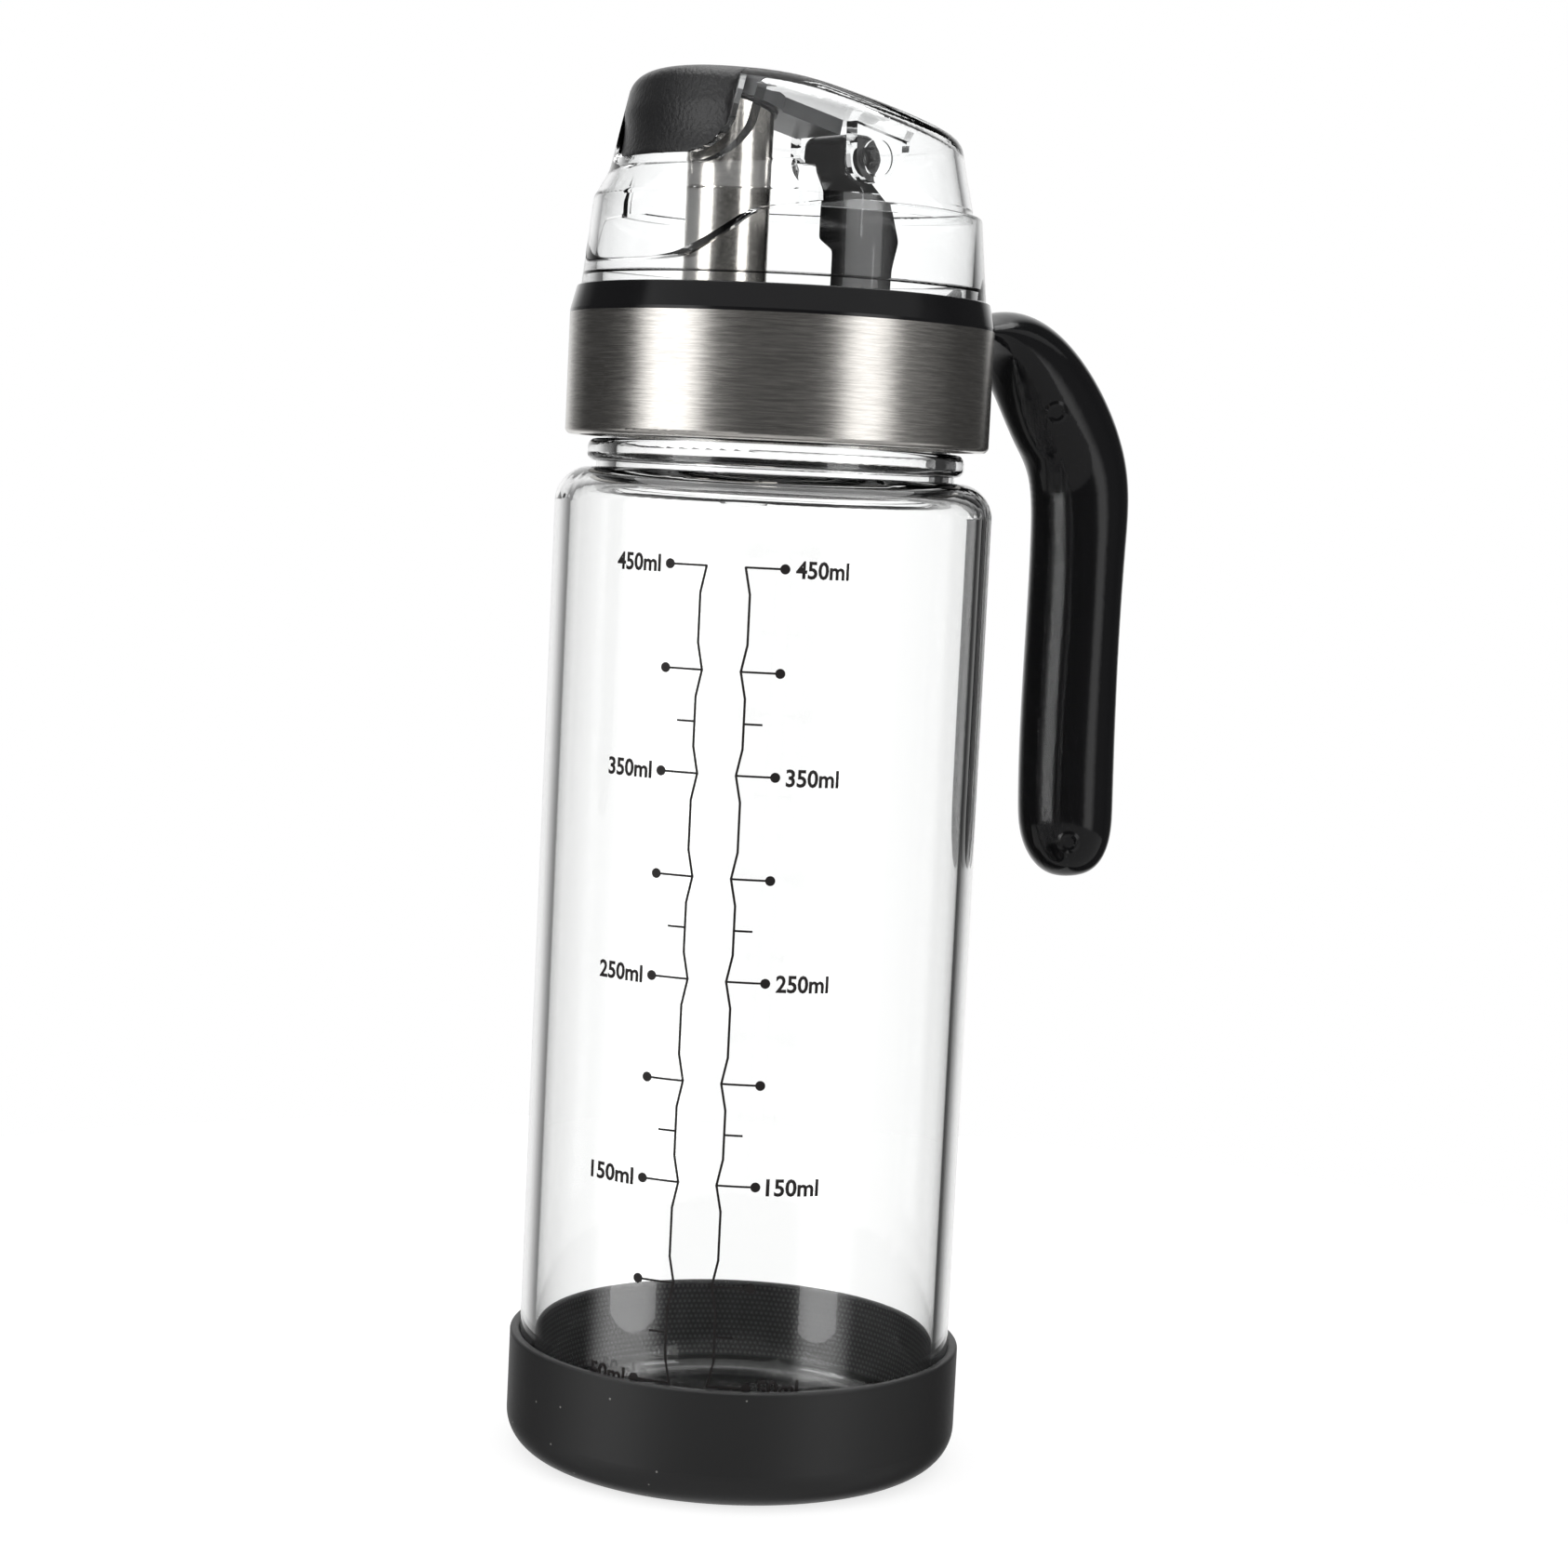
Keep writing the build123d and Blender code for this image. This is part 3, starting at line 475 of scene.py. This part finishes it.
GLASS = ClearWall("bottle_glass")
CLEAR_PLASTIC = ClearWall("clear_plastic", tint=(0.99, 0.995, 0.995), index=1.34)
STEEL_BAND = BrushedSteel("band_steel")
STEEL_SPOUT = BrushedSteel("spout_steel", colour=(0.66, 0.63, 0.59), rough=0.20, axis_x=-0.0116)
BLACK = MouldedPlastic("black_plastic", rough=0.09, shine=0.38)
HANDLE = MarkedPlastic("handle_plastic", rough=0.10, shine=0.26, grain_depth=2.2e-4)
BLACK_RIM = MouldedPlastic("rim_plastic", rough=0.11, shine=0.35)
SOFT_PAD = MouldedPlastic(
    "pad_rubber", colour=(0.010, 0.010, 0.0105), rough=0.30, shine=0.50, grain_scale=1500.0,
    grain_depth=1.3e-4,
)
SLEEVE = DottedRubber(
    "sleeve_silicone", colour=(0.0135, 0.0135, 0.0138), rough=0.46, shine=0.36, grain_scale=1500.0,
    grain_depth=1.2e-5, specks=0.10,
)
GREY_BAR = MouldedPlastic("grey_plastic", colour=(0.105, 0.107, 0.110), rough=0.35)
SEAL = MouldedPlastic("seal_silicone", colour=(0.62, 0.62, 0.61), rough=0.5)
STOPPER = MouldedPlastic("stopper_silicone", colour=(0.060, 0.060, 0.063), rough=0.45)
INK = MouldedPlastic("scale_ink", colour=(0.014, 0.012, 0.012), rough=0.45, shine=0.2)

NODE_FINISHES = {
    "glass_bottle": GLASS, "base_sleeve": SLEEVE, "neck_gasket": SEAL, "thread_liner": BLACK,
    "cap_housing": BLACK_RIM, "steel_band": STEEL_BAND, "handle": HANDLE, "handle_screws": STEEL_BAND,
    "drip_seal": SEAL, "clear_guard": CLEAR_PLASTIC, "spout_tube": STEEL_SPOUT, "spout_seal": SEAL,
    "spout_nut": STEEL_SPOUT, "vent_grommet": STOPPER, "hinge_post": BLACK, "post_screws": STEEL_BAND,
    "lid_shell": CLEAR_PLASTIC, "thumb_pad": SOFT_PAD, "stopper_carrier": GREY_BAR, "spout_stopper": STOPPER,
}


def dress(piece: bpy.types.Object, material: bpy.types.Material) -> None:
    """Gives every face of a piece one material.

    Args:
        piece: the object.
        material: its finish.
    """
    if piece.data.materials:
        for slot in piece.material_slots:
            slot.material = material
    else:
        piece.data.materials.append(material)


class Bench:
    """Short ways to pick, finish and join pieces."""

    @staticmethod
    def pick(piece: bpy.types.Object, *others: bpy.types.Object) -> None:
        """Selects pieces alone, the first one active."""
        bpy.ops.object.select_all(action="DESELECT")
        for one in (piece, *others):
            one.select_set(True)
        bpy.context.view_layer.objects.active = piece

    @staticmethod
    def edit(piece: bpy.types.Object, operator: Callable, **settings: object) -> None:
        """Runs one edit mode operator on a whole piece.

        Args:
            piece: the object.
            operator: the operator.
            settings: its settings.
        """
        Bench.pick(piece)
        bpy.ops.object.mode_set(mode="EDIT")
        bpy.ops.mesh.select_all(action="SELECT")
        operator(**settings)
        bpy.ops.object.mode_set(mode="OBJECT")

    @staticmethod
    def modify(piece: bpy.types.Object, kind: str, **settings: object) -> None:
        """Adds a modifier and applies it.

        Args:
            piece: the object.
            kind: the modifier's type.
            settings: its settings.
        """
        Bench.pick(piece)
        modifier = piece.modifiers.new(kind.lower(), kind)
        for name, value in settings.items():
            setattr(modifier, name, value)
        bpy.ops.object.modifier_apply(modifier=modifier.name)

    @staticmethod
    def settle(piece: bpy.types.Object) -> bpy.types.Object:
        """Moves a piece's place, turn and scale into its mesh."""
        Bench.pick(piece)
        bpy.ops.object.transform_apply(location=True, rotation=True, scale=True)
        return piece

    @staticmethod
    def join(pieces: list[bpy.types.Object], name: str) -> bpy.types.Object:
        """Joins settled pieces into one.

        Args:
            pieces: what is joined.
            name: the new piece's name.

        Returns:
            The joined piece.
        """
        Bench.pick(*pieces)
        if len(pieces) > 1:
            bpy.ops.object.join()
        pieces[0].name = name
        return pieces[0]

    @staticmethod
    def softened(node: bpy.types.Object, name: str, grid: float, passes: int) -> bpy.types.Object:
        """Copy of a solid with its hard edges rounded off, as a moulding's are.

        Args:
            node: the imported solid.
            name: the copy's name.
            grid: size of its even mesh.
            passes: rounds of smoothing.

        Returns:
            The copy.
        """
        piece = bpy.data.objects.new(name, node.data.copy())
        bpy.context.scene.collection.objects.link(piece)
        Bench.edit(piece, bpy.ops.mesh.remove_doubles, threshold=WELD_DISTANCE)
        Bench.modify(piece, "REMESH", mode="VOXEL", voxel_size=grid, use_smooth_shade=True)
        Bench.modify(piece, "SMOOTH", factor=0.5, iterations=passes)
        Bench.pick(piece)
        bpy.ops.object.shade_smooth()
        return piece


@dataclass
class VolumeScale:
    """Filling scale printed on the glass, drawn flat and laid round it; lengths in millimetres."""

    radius: float = 34.5
    middle: float = 42.0
    top: float = 142.85
    step: float = 15.46
    marks: int = 9
    waist: float = 2.95
    belly: float = 3.75
    slope: float = 4.0
    line: float = 0.36
    tick: float = 0.32
    dot_reach: float = 8.8
    dot: float = 0.76
    short: float = 2.7
    label_start: float = 10.4
    letter_width: float = 1.62
    label_height: float = 2.7
    proud: float = 0.03
    letter_size: float = 4.0
    boldness: float = 0.10
    dot_sides: int = 20
    line_cuts: int = 3
    letter_curves: int = 3
    labels: tuple[str, ...] = ("450ml", "350ml", "250ml", "150ml", "50ml")
    pieces: list[bpy.types.Object] = field(default_factory=list)

    def bar(self, start: tuple[float, float], end: tuple[float, float], width: float) -> bpy.types.Object:
        """Straight printed line.

        Args:
            start, end: its ends, to the right of the scale's middle and up.
            width: the line's width.

        Returns:
            The flat piece.
        """
        run = Vector(end) - Vector(start)
        middle = (Vector(start) + Vector(end)) * 0.5
        place = (middle.x * MM, 0, middle.y * MM)
        slope = -math.atan2(run.y, run.x)
        bpy.ops.mesh.primitive_plane_add(size=MM, location=place)
        piece = bpy.context.object
        piece.matrix_world = (
            Matrix.Translation(place) @ Matrix.Rotation(slope, 4, "Y") @ Matrix.Rotation(math.pi / 2, 4, "X")
            @ Matrix.Diagonal((run.length + width * 0.5, width, 1, 1))
        )
        Bench.settle(piece)
        Bench.edit(piece, bpy.ops.mesh.subdivide, number_cuts=self.line_cuts)
        return piece

    def stack(self, pieces: list[bpy.types.Object], count: int, steps: float) -> None:
        """Joins a repeated sign, sets it down the scale and mirrors it to the left side.

        Args:
            pieces: its flat parts at the top place.
            count: how many there are.
            steps: distance between two, in steps of the scale.
        """
        sign = Bench.join(pieces, "sign")
        Bench.modify(
            sign, "ARRAY", count=count, use_relative_offset=False, use_constant_offset=True,
            constant_offset_displace=(0, 0, -steps * self.step * MM),
        )
        Bench.modify(sign, "MIRROR", use_mirror_merge=False)
        self.pieces.append(sign)

    def draw(self) -> None:
        """Waisted lines, marks with dots, and the short ticks between."""
        foot = self.top - self.step
        reach, waist, belly = self.dot_reach, self.waist, self.belly
        self.stack([
            self.bar((waist, self.top), (belly, self.top - self.slope), self.line),
            self.bar((belly, self.top - self.slope), (belly, foot + self.slope), self.line),
            self.bar((belly, foot + self.slope), (waist, foot), self.line),
        ], self.marks - 1, 1)
        mark = self.bar((waist, self.top), (reach, self.top), self.tick)
        bpy.ops.mesh.primitive_circle_add(
            vertices=self.dot_sides, radius=self.dot * MM, fill_type="NGON",
            location=(reach * MM, 0, self.top * MM), rotation=(math.pi / 2, 0, 0),
        )
        self.stack([mark, Bench.settle(bpy.context.object)], self.marks, 1)
        between = self.top - 1.5 * self.step
        self.stack([self.bar((belly, between), (belly + self.short, between), self.tick)], self.marks // 2, 2)

    def letter(self, words: str, side: int, height: float) -> None:
        """One volume beside its mark.

        Args:
            words: the volume.
            side: 1 right of the scale, -1 left.
            height: of the mark.
        """
        bpy.ops.object.text_add(rotation=(math.pi / 2, 0, 0))
        piece = bpy.context.object
        piece.data.body = words
        piece.data.size = self.letter_size * MM
        piece.data.resolution_u = self.letter_curves
        piece.data.offset = self.boldness * MM
        Bench.pick(piece)
        bpy.ops.object.convert(target="MESH")
        Bench.settle(piece)
        points = piece.data.vertices
        low = [min(point.co[axis] for point in points) for axis in (0, 2)]
        high = [max(point.co[axis] for point in points) for axis in (0, 2)]
        width = len(words) * self.letter_width
        start = self.label_start if side > 0 else -self.label_start - width
        for point in points:
            point.co.x = (start + width * (point.co.x - low[0]) / (high[0] - low[0])) * MM
            point.co.z = (height + self.label_height * ((point.co.z - low[1]) / (high[1] - low[1]) - 0.5)) * MM
        self.pieces.append(piece)

    def lay(self, piece: bpy.types.Object) -> None:
        """Wraps the flat drawing round the glass."""
        for point in piece.data.vertices:
            angle = math.radians(self.middle) + point.co.x / (self.radius * MM)
            out = (self.radius + self.proud / 2) * MM
            point.co = Vector((-out * math.cos(angle), -out * math.sin(angle), point.co.z))

    def build(self, ink: bpy.types.Material) -> bpy.types.Object:
        """Draws, wraps and inks the scale.

        Args:
            ink: its finish.

        Returns:
            The piece.
        """
        self.draw()
        for place, words in enumerate(self.labels):
            for side in (-1, 1):
                self.letter(words, side, self.top - 2 * place * self.step)
        scale = Bench.join(self.pieces, "volume_scale")
        self.lay(scale)
        Bench.modify(scale, "SOLIDIFY", thickness=self.proud * MM, offset=1.0)
        dress(scale, ink)
        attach(scale, Body.BOTTLE.value)
        return scale


@dataclass
class SoftMouldings:
    """Pieces whose moulded edges are rounder than the solids': the thumb pad and the hinge post."""

    pad_grid: float = 0.00028
    pad_passes: int = 22
    post_grid: float = 0.00026
    post_passes: int = 24

    def pad(self, frame: dict, rubber: bpy.types.Material) -> bpy.types.Object:
        """Thumb pad with soft rims."""
        solid = frame["nodes"]["thumb_pad"]
        piece = Bench.softened(solid, "thumb_pad_soft", self.pad_grid, self.pad_passes)
        return self.seat(piece, "thumb_pad", Body.LID, "soft_pad", rubber)

    def post(self, frame: dict, plastic: bpy.types.Material) -> bpy.types.Object:
        """Hinge post with rounded edges."""
        solid = frame["nodes"]["hinge_post"]
        piece = Bench.softened(solid, "hinge_post_soft", self.post_grid, self.post_passes)
        return self.seat(piece, "hinge_post", Body.HEAD, "black_plastic", plastic)

    @staticmethod
    def seat(
        piece: bpy.types.Object, node: str, body: Body, slot: str, finish: bpy.types.Material,
    ) -> bpy.types.Object:
        """Dresses a moulding and puts it in its node's place.

        Args:
            piece: the moulding.
            node: the solid that it stands for.
            body: what it moves with.
            slot: name of the record's material slot; not used.
            finish: its material.

        Returns:
            The same piece.
        """
        dress(piece, finish)
        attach(piece, body.value)
        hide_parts(node)
        return piece


@dataclass
class Lens:
    """The photograph's camera, as fitted to the rims and outlines."""

    place: tuple[float, float, float] = (-0.3090, -0.4101, 0.15435)
    azimuth: float = PHOTO_AZIMUTH
    down: float = 0.0901
    swing: float = 0.0073
    lean: float = 0.0488
    focal: float = 74.37
    sensor: float = 36.0

    def make(self) -> bpy.types.Object:
        """Places the camera.

        Returns:
            The camera object.
        """
        heading = math.radians(self.azimuth)
        right = Vector((math.cos(heading), math.sin(heading), 0.0))
        ahead = Vector((-math.sin(heading), math.cos(heading), 0.0))
        aim = ahead * math.cos(self.swing) + right * math.sin(self.swing)
        side = right * math.cos(self.swing) - ahead * math.sin(self.swing)
        forward = aim * math.cos(self.down) - Vector((0, 0, math.sin(self.down)))
        up = side.cross(forward)
        across = side * math.cos(self.lean) + up * math.sin(self.lean)
        upright = up * math.cos(self.lean) - side * math.sin(self.lean)
        data = bpy.data.cameras.new("photo_camera")
        data.lens, data.sensor_width, data.sensor_fit = self.focal, self.sensor, "HORIZONTAL"
        data.clip_start, data.clip_end = 0.01, 30.0
        camera = bpy.data.objects.new("photo_camera", data)
        bpy.context.scene.collection.objects.link(camera)
        turn = Matrix((across, upright, -forward)).transposed().to_4x4()
        camera.matrix_world = Matrix.Translation(self.place) @ turn
        bpy.context.scene.camera = camera
        return camera


@dataclass(frozen=True)
class Softbox:
    """Rectangular lamp, in degrees from the camera's azimuth, metres and watts."""

    name: str
    azimuth: float
    width: float
    power: float
    tall: float = 0.85
    level: float = 0.16
    distance: float = 1.1
    target: float = 0.11

    def make(self) -> bpy.types.Object:
        """Places the lamp and turns it to the cruet.

        Returns:
            The lamp.
        """
        data = bpy.data.lights.new(self.name, "AREA")
        data.shape, data.size, data.size_y, data.energy = "RECTANGLE", self.width, self.tall, self.power
        lamp = bpy.data.objects.new(self.name, data)
        lamp.visible_glossy = False
        bpy.context.scene.collection.objects.link(lamp)
        angle = math.radians(PHOTO_AZIMUTH + self.azimuth)
        lamp.location = (math.sin(angle) * self.distance, -math.cos(angle) * self.distance, self.level)
        lamp.rotation_mode = "QUATERNION"
        lamp.rotation_quaternion = (lamp.location - Vector((0, 0, self.target))).to_track_quat("Z", "Y")
        return lamp


@dataclass
class Studio:
    """White surround, pale floor and two tall softboxes.

    What shiny pieces mirror is a room of its own: a ring of zones, plain ends above and below them in front,
    and a bright canopy overhead. The zones are positions and greys, round from behind the cruet, with the
    camera at 0.5.
    """

    surround: float = 1.12
    fill: float = 0.80
    canopy: float = 2.6
    canopy_from: float = 48.0
    zone_middle: float = 0.05
    zone_height: float = 0.36
    zone_end: float = 0.55
    front_half: float = 0.3
    deep_walls: float = 4.5
    floor_radius: float = 0.27
    floor_glow: float = 0.74
    floor_sides: int = 96
    paper: float = 0.45
    lamps: tuple[Softbox, ...] = (
        Softbox("left_softbox", -58.0, 0.56, 4.3),
        Softbox("right_softbox", 46.0, 0.44, 3.4),
    )
    room: tuple[tuple[float, float], ...] = (
        (0.0, 1.0), (0.055, 1.0), (0.10, 0.25), (0.14, 0.04), (0.262, 0.05), (0.305, 2.15), (0.362, 2.15),
        (0.395, 0.16), (0.44, 0.08), (0.56, 0.08), (0.585, 0.20), (0.612, 1.95), (0.648, 1.95), (0.685, 0.20),
        (0.75, 0.12), (0.79, 0.05), (0.90, 0.04), (0.95, 1.0), (1.0, 1.0),
    )

    def surround_light(self) -> None:
        """White world for what the eye, metal and glass see, and a plainer fill for soft surfaces."""
        world = bpy.data.worlds.new("studio")
        bpy.context.scene.world = world
        world.use_nodes = True
        shader = Shader(world.node_tree)
        scattered = shader.ray(Ray.SCATTERED)
        deep = shader.ray(Ray.WALLS, self.deep_walls)
        mirrored = shader.ray(Ray.MIRRORED) * (1.0 - scattered) * (1.0 - deep)
        sky = shader.add("ShaderNodeTexCoord").outputs["Generated"]
        direction = shader.add("ShaderNodeSeparateXYZ", Vector=sky)
        heading = shader.wire(direction, 1).angle(shader.wire(direction, 0))
        camera = math.radians(PHOTO_AZIMUTH)
        toward_camera = math.atan2(-math.cos(camera), math.sin(camera))
        turn = ((heading - toward_camera) / (2 * math.pi) + 1.5).fraction()
        around = shader.ramp(turn, [(place, (grey,) * 3) for place, grey in self.room])
        rise = shader.wire(direction, 2)
        steep = (abs(rise - self.zone_middle) > self.zone_height) * (abs(turn - 0.5) < self.front_half)
        sides = shader.blend(steep, around, (self.zone_end,) * 3)
        overhead = rise > math.sin(math.radians(self.canopy_from))
        mirror = shader.blend(overhead, sides, (self.canopy,) * 3)
        backdrop = shader.blend(shader.ray(Ray.TRANSMISSION), (1.0,) * 3, (self.surround,) * 3)
        straight = shader.blend(mirrored, backdrop, mirror)
        colour = shader.blend(scattered, straight, (self.fill,) * 3)
        back = shader.add("ShaderNodeBackground", Color=colour, Strength=1.0)
        out = shader.add("ShaderNodeOutputWorld")
        shader.tree.links.new(back.outputs[0], out.inputs["Surface"])

    def floor(self) -> None:
        """Pale floor that keeps a soft shadow and that no shiny surface mirrors."""
        bpy.ops.object.select_all(action="DESELECT")
        bpy.ops.mesh.primitive_circle_add(
            vertices=self.floor_sides, radius=self.floor_radius, fill_type="NGON", location=(0, 0, 0),
        )
        ground = bpy.context.object
        ground.name = "floor"
        material, shader = new_material("floor_paper")
        paper = shader.add("ShaderNodeBsdfDiffuse", Color=(self.paper,) * 3)
        seen = 1.0 - shader.ray(Ray.SCATTERED)
        glow = shader.add("ShaderNodeEmission", Color=(1.0, 1.0, 1.0), Strength=seen * self.floor_glow)
        both = shader.add("ShaderNodeAddShader")
        shader.tree.links.new(paper.outputs[0], both.inputs[0])
        shader.tree.links.new(glow.outputs[0], both.inputs[1])
        clear = shader.add("ShaderNodeBsdfTransparent")
        sheet = shader.add("ShaderNodeMixShader")
        shader.feed(sheet.inputs[0], shader.ray(Ray.MIRRORED) * seen)
        shader.tree.links.new(both.outputs[0], sheet.inputs[1])
        shader.tree.links.new(clear.outputs[0], sheet.inputs[2])
        close(shader, sheet)
        dress(ground, material)

    def build(self) -> None:
        """Sets the whole studio up."""
        self.surround_light()
        self.floor()
        for lamp in self.lamps:
            lamp.make()
        bpy.context.scene.view_settings.view_transform = "Standard"


def main() -> None:
    """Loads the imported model, dresses it and lights it."""
    logging.basicConfig(level=logging.INFO, format="%(name)s: %(message)s")
    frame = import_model()
    Lens().make()
    Studio().build()
    made = {finish: finish.make() for finish in dict.fromkeys(NODE_FINISHES.values())}
    for name, finish in NODE_FINISHES.items():
        dress(frame["nodes"][name], made[finish])
        LOG.info("node %s wears %s", name, finish.name)
    mouldings = SoftMouldings()
    scale = VolumeScale().build(INK.make())
    for piece in (scale, mouldings.pad(frame, made[SOFT_PAD]), mouldings.post(frame, made[BLACK])):
        LOG.info("piece %s has %d faces", piece.name, len(piece.data.polygons))


if __name__ == "__main__":
    main()
